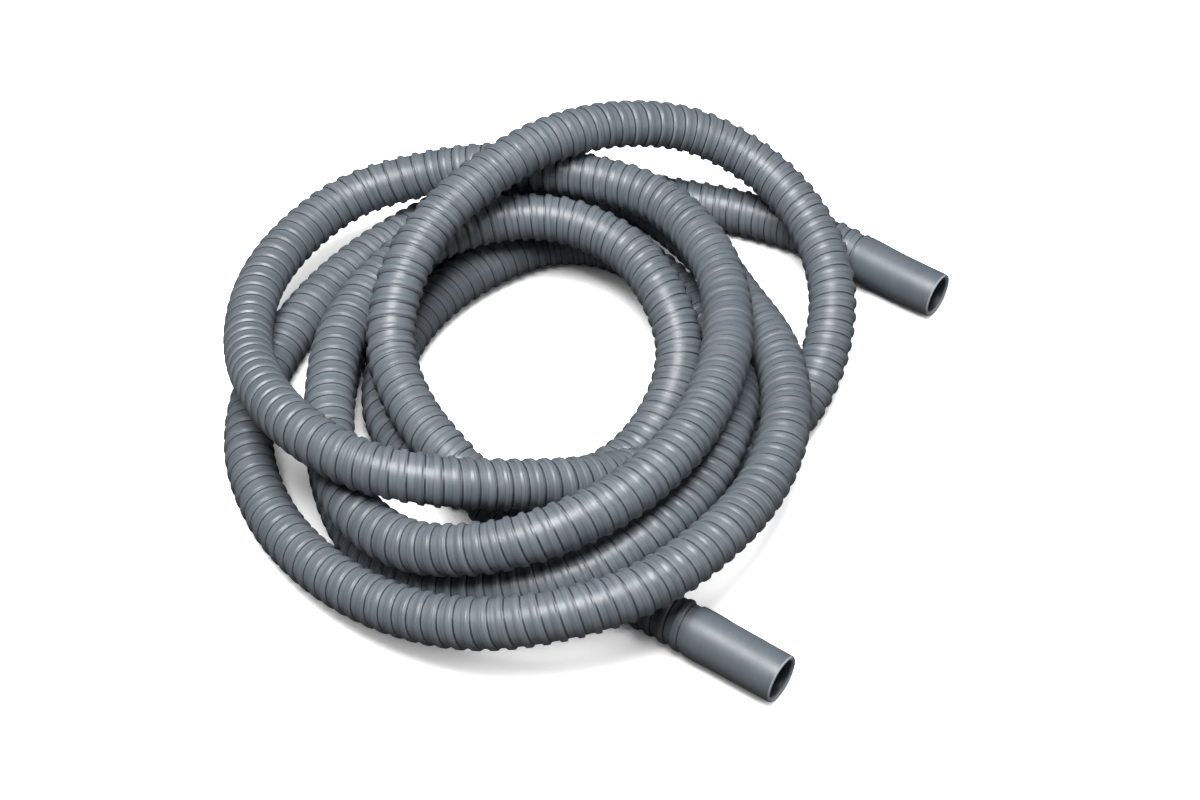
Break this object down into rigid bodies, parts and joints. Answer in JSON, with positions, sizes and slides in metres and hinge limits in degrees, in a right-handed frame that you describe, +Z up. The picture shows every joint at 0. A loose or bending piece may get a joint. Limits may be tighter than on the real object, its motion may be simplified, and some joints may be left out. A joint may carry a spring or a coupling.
{
  "type": "corrugated drain hose",
  "caption": "Flexible spiral-corrugated drain hose with a smooth open cuff at each end, lying in a loose coil.",
  "frame": {"origin": "centre of the bounding box, at the floor that the coil lies on", "axes": "+Z up from the floor, +X out of both open cuffs"},
  "size_m": [0.3788, 0.3722, 0.0948],
  "materials": {
    "grey_plastic": "satin moulded, fine streaks around the hose"
  },
  "bodies": {
    "root": {"drain_hose": "grey_plastic"}
  },
  "joints": []
}
